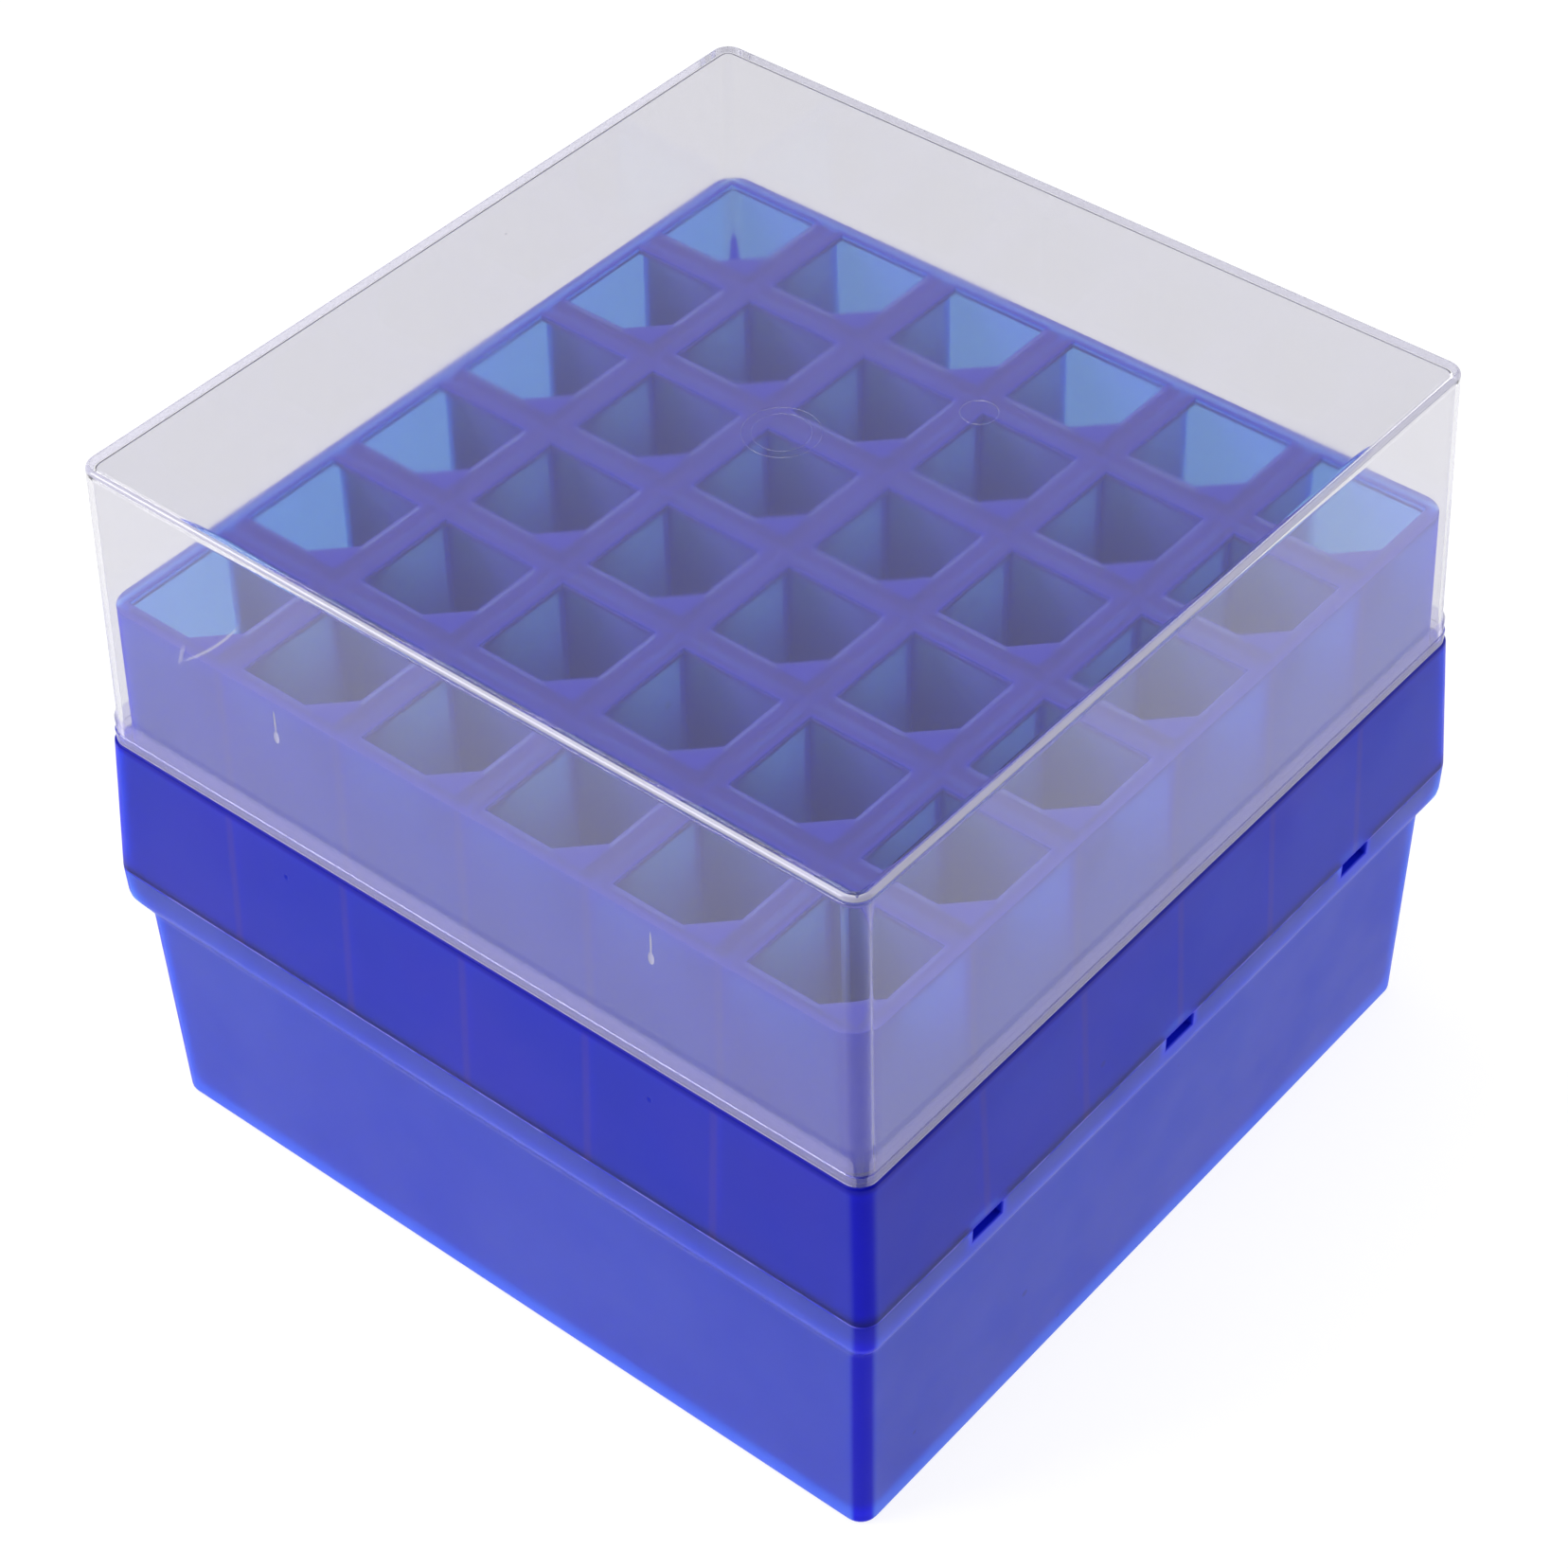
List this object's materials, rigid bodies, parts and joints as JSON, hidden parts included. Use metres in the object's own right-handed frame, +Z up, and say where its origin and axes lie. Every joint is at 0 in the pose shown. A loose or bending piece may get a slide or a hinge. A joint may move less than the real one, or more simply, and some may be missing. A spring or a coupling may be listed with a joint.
{
  "type": "cryogenic storage box",
  "caption": "Square freezer box for conical centrifuge tubes: a blue tub, a lift-out rack of square cells and a tall clear lift-off lid.",
  "frame": {"origin": "centre of the base's underside", "axes": "+Z up, the plain front face towards -Y, the notched faces towards -X and +X"},
  "size_m": [0.1436, 0.1436, 0.1243],
  "materials": {
    "clear_lid": "clear, slightly hazy",
    "blue_base": "translucent, satin",
    "blue_rack": "translucent, satin"
  },
  "bodies": {
    "base": {"base": "blue_base"},
    "rack": {"rack_shell": "blue_rack", "rack_row_rib_1": "blue_rack", "rack_row_rib_2": "blue_rack", "rack_row_rib_3": "blue_rack", "rack_row_rib_4": "blue_rack", "rack_row_rib_5": "blue_rack", "rack_column_rib_1": "blue_rack", "rack_column_rib_2": "blue_rack", "rack_column_rib_3": "blue_rack", "rack_column_rib_4": "blue_rack", "rack_column_rib_5": "blue_rack", "rack_corner_webs": "blue_rack"},
    "lid": {"lid": "clear_lid"}
  },
  "joints": [
    {"name": "rack_lift", "type": "slide", "parent": "base", "child": "rack", "axis": [0, 0, 1], "range_m": [0, 0.08]},
    {"name": "lid_lift", "type": "slide", "parent": "rack", "child": "lid", "axis": [0, 0, 1], "range_m": [0, 0.08]}
  ]
}
